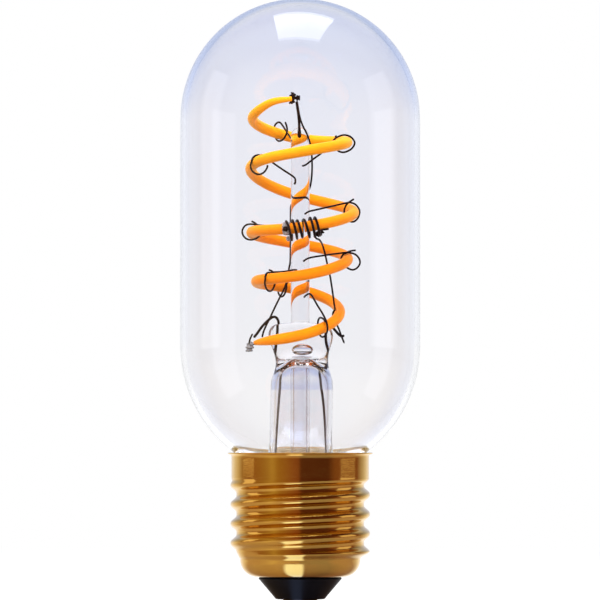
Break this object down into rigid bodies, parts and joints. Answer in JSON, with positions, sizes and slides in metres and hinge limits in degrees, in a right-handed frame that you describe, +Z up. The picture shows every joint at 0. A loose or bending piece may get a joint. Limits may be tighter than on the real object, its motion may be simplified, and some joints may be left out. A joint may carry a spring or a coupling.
{
  "type": "tubular light bulb",
  "caption": "Clear tubular lamp with a domed top, a brass screw cap, and a long soft filament wound as an open spiral round a glass rod.",
  "frame": {"origin": "centre of the flat bottom face of the centre contact, on the lamp's axis", "axes": "+Z up along the lamp's axis from the cap to the domed top; -Y is the front, with the joint of the filament; +X is to the right"},
  "size_m": [0.045, 0.045, 0.1136],
  "materials": {
    "clear_glass": "clear blown glass",
    "stem_glass": "clear pressed and drawn glass",
    "soft_filament": "soft orange coating, satin",
    "bright_metal": "bright tinned metal",
    "dark_wire": "dark drawn wire",
    "cap_brass": "rolled brass, satin to bright",
    "cement": "dull",
    "black_insulator": "smooth black",
    "board_green": "lacquered board",
    "component_black": "moulded black",
    "capacitor_can": "drawn can",
    "resistor_body": "lacquered"
  },
  "bodies": {
    "root": {"glass_envelope": "clear_glass", "stem_flare": "stem_glass", "exhaust_tube": "stem_glass", "glass_rod": "stem_glass", "upper_filament": "soft_filament", "lower_filament": "soft_filament", "top_end_tab": "bright_metal", "bottom_end_tab": "bright_metal", "joint_clip": "bright_metal", "joint_coil": "dark_wire", "left_lead_wire": "dark_wire", "right_lead_wire": "dark_wire", "centre_feed_wire": "dark_wire", "return_wire": "dark_wire", "top_support_wire": "dark_wire", "support_wire_1": "dark_wire", "support_wire_2": "dark_wire", "support_wire_3": "dark_wire", "support_wire_4": "dark_wire", "support_wire_5": "dark_wire", "support_wire_6": "dark_wire", "support_wire_7": "dark_wire", "support_wire_8": "dark_wire", "support_wire_9": "dark_wire", "screw_shell": "cap_brass", "cap_cement": "cement", "cap_insulator": "black_insulator", "centre_contact": "cap_brass", "contact_solder": "bright_metal", "driver_board": "board_green", "bridge_rectifier": "component_black", "driver_chip": "component_black", "smoothing_capacitor": "capacitor_can", "fusible_resistor": "resistor_body", "shell_wire": "dark_wire"}
  },
  "joints": []
}
